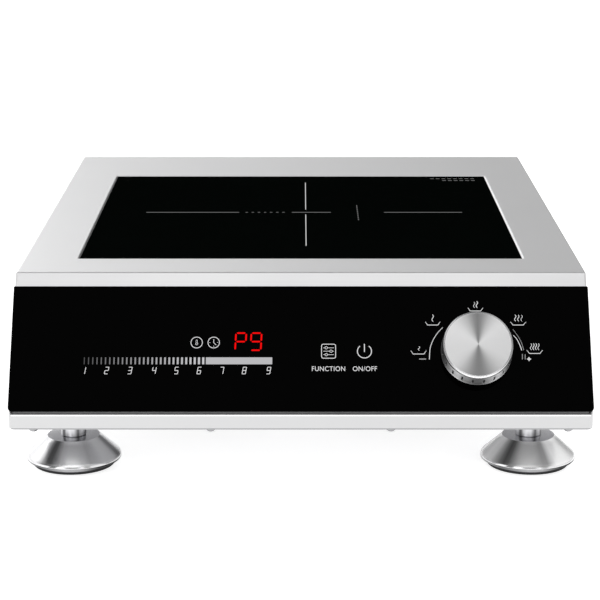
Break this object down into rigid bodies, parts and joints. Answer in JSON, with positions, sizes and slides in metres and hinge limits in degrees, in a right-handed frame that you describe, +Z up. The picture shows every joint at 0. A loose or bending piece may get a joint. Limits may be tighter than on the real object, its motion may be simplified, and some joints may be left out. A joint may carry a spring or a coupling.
{
  "type": "countertop induction hob",
  "caption": "Stainless countertop induction hob with a square black glass cooking plate, a sloped black glass control panel, a rotary knob and chromed levelling feet.",
  "frame": {"origin": "on the bench under the middle of the whole hob, cable tail included", "axes": "+X to the user's right, +Y from the user towards the back of the hob, +Z up"},
  "size_m": [0.4, 0.5818, 0.1332],
  "materials": {
    "stainless": "fine satin, grain along X on the top",
    "stainless_inner": "plain sheet",
    "screw_steel": "bright zinc",
    "ceramic_black": "polished black glass ceramic, opaque",
    "panel_black": "polished black glass, printed from behind",
    "silicone": "black silicone",
    "gasket_foam": "closed-cell foam",
    "knob_aluminium": "spun face, satin side, bright edge",
    "knob_plastic": "moulded",
    "shaft_steel": "turned",
    "encoder_case": "moulded with die-cast bush",
    "pcb_green": "solder mask",
    "display_red": "lit segments",
    "bar_white": "diffused white light bar",
    "led_clear": "diffused",
    "spring_steel": "drawn wire",
    "copper": "enamelled litz",
    "carrier_plastic": "glass-filled moulding",
    "ferrite": "sintered",
    "mica": "pressed mica",
    "sensor": "ceramic with silicone cap",
    "aluminium_plain": "extruded",
    "epoxy_black": "moulded",
    "capacitor_box": "epoxy filled box",
    "choke_ferrite": "coated core",
    "fan_black": "moulded",
    "terminal_plastic": "polyamide",
    "gland_plastic": "polyamide",
    "cable_rubber": "rubber jacket",
    "wire_pvc": "insulated leads",
    "ribbon_grey": "flat cable",
    "brass_stud": "turned",
    "insert_steel": "zinc plated",
    "foot_chrome": "polished chrome plate",
    "foot_stud": "zinc-plated thread, chromed collar",
    "foot_rubber": "ribbed pad",
    "duct_plastic": "folded sheet"
  },
  "bodies": {
    "casing": {"air_duct": "duct_plastic", "board_standoffs": "brass_stud", "bottom_plate": "stainless_inner", "bridge_rectifier": "epoxy_black", "cable_gland": "gland_plastic", "casing_screws": "screw_steel", "chokes": "choke_ferrite", "coil_carrier": "carrier_plastic", "coil_leads": "wire_pvc", "coil_springs": "spring_steel", "coil_support_posts": "aluminium_plain", "control_board": "pcb_green", "control_gasket": "gasket_foam", "control_glass": "panel_black", "cooktop_glass": "ceramic_black", "cooktop_seal": "silicone", "display_module": "display_red", "earth_stud": "brass_stud", "encoder_body": "encoder_case", "encoder_nut": "screw_steel", "fan_and_board_screws": "screw_steel", "fan_frame_left": "fan_black", "fan_frame_right": "fan_black", "ferrite_bars": "ferrite", "film_capacitors": "capacitor_box", "filter_board": "pcb_green", "foot_thread_inserts": "insert_steel", "glass_support_frame": "stainless_inner", "heat_sink": "aluminium_plain", "indicator_leds": "led_clear", "induction_coil": "copper", "level_bar_module": "bar_white", "mains_cable": "cable_rubber", "mains_wires": "wire_pvc", "mica_insulator": "mica", "power_board": "pcb_green", "power_transistors": "epoxy_black", "rear_panel": "stainless", "ribbon_cable": "ribbon_grey", "temperature_sensor": "sensor", "terminal_block": "terminal_plastic", "top_shell": "stainless", "touch_springs": "spring_steel"},
    "knob": {"knob_cap": "knob_aluminium", "knob_core": "knob_plastic", "encoder_shaft": "shaft_steel"},
    "fan_rotor_left": {"fan_impeller_left": "fan_black"},
    "fan_rotor_right": {"fan_impeller_right": "fan_black"},
    "foot_front_left": {"foot_base_front_left": "foot_chrome", "foot_pad_front_left": "foot_rubber"},
    "stem_front_left": {"foot_stem_front_left": "foot_stud"},
    "foot_front_right": {"foot_base_front_right": "foot_chrome", "foot_pad_front_right": "foot_rubber"},
    "stem_front_right": {"foot_stem_front_right": "foot_stud"},
    "foot_rear_left": {"foot_base_rear_left": "foot_chrome", "foot_pad_rear_left": "foot_rubber"},
    "stem_rear_left": {"foot_stem_rear_left": "foot_stud"},
    "foot_rear_right": {"foot_base_rear_right": "foot_chrome", "foot_pad_rear_right": "foot_rubber"},
    "stem_rear_right": {"foot_stem_rear_right": "foot_stud"}
  },
  "joints": [
    {"name": "knob_turn", "type": "hinge", "parent": "casing", "child": "knob", "pos_m": [0.121, -0.26987, 0.0891], "axis": [0, -0.8261, 0.5635], "continuous": true},
    {"name": "fan_left_spin", "type": "hinge", "parent": "casing", "child": "fan_rotor_left", "pos_m": [-0.07, -0.14269, 0.05], "axis": [0, 0, 1], "continuous": true},
    {"name": "fan_right_spin", "type": "hinge", "parent": "casing", "child": "fan_rotor_right", "pos_m": [0.07, -0.14269, 0.05], "axis": [0, 0, 1], "continuous": true},
    {"name": "foot_slide_front_left", "type": "slide", "parent": "casing", "child": "foot_front_left", "axis": [0, 0, -1], "range_m": [-0.00275, 0.012]},
    {"name": "foot_screw_front_left", "type": "hinge", "parent": "foot_front_left", "child": "stem_front_left", "pos_m": [-0.16, -0.24899, 0.03], "axis": [0, 0, -1], "range_deg": [-661, 2881]},
    {"name": "foot_slide_front_right", "type": "slide", "parent": "casing", "child": "foot_front_right", "axis": [0, 0, -1], "range_m": [-0.00275, 0.012]},
    {"name": "foot_screw_front_right", "type": "hinge", "parent": "foot_front_right", "child": "stem_front_right", "pos_m": [0.16, -0.24899, 0.03], "axis": [0, 0, -1], "range_deg": [-661, 2881]},
    {"name": "foot_slide_rear_left", "type": "slide", "parent": "casing", "child": "foot_rear_left", "axis": [0, 0, -1], "range_m": [-0.00275, 0.012]},
    {"name": "foot_screw_rear_left", "type": "hinge", "parent": "foot_rear_left", "child": "stem_rear_left", "pos_m": [-0.16, 0.19071, 0.03], "axis": [0, 0, -1], "range_deg": [-661, 2881]},
    {"name": "foot_slide_rear_right", "type": "slide", "parent": "casing", "child": "foot_rear_right", "axis": [0, 0, -1], "range_m": [-0.00275, 0.012]},
    {"name": "foot_screw_rear_right", "type": "hinge", "parent": "foot_rear_right", "child": "stem_rear_right", "pos_m": [0.16, 0.19071, 0.03], "axis": [0, 0, -1], "range_deg": [-661, 2881]}
  ],
  "couplings": [
    {"joint": "foot_screw_front_left", "follows": "foot_slide_front_left", "rad_per_m": 4188.8},
    {"joint": "foot_screw_front_right", "follows": "foot_slide_front_right", "rad_per_m": 4188.8},
    {"joint": "foot_screw_rear_left", "follows": "foot_slide_rear_left", "rad_per_m": 4188.8},
    {"joint": "foot_screw_rear_right", "follows": "foot_slide_rear_right", "rad_per_m": 4188.8}
  ]
}
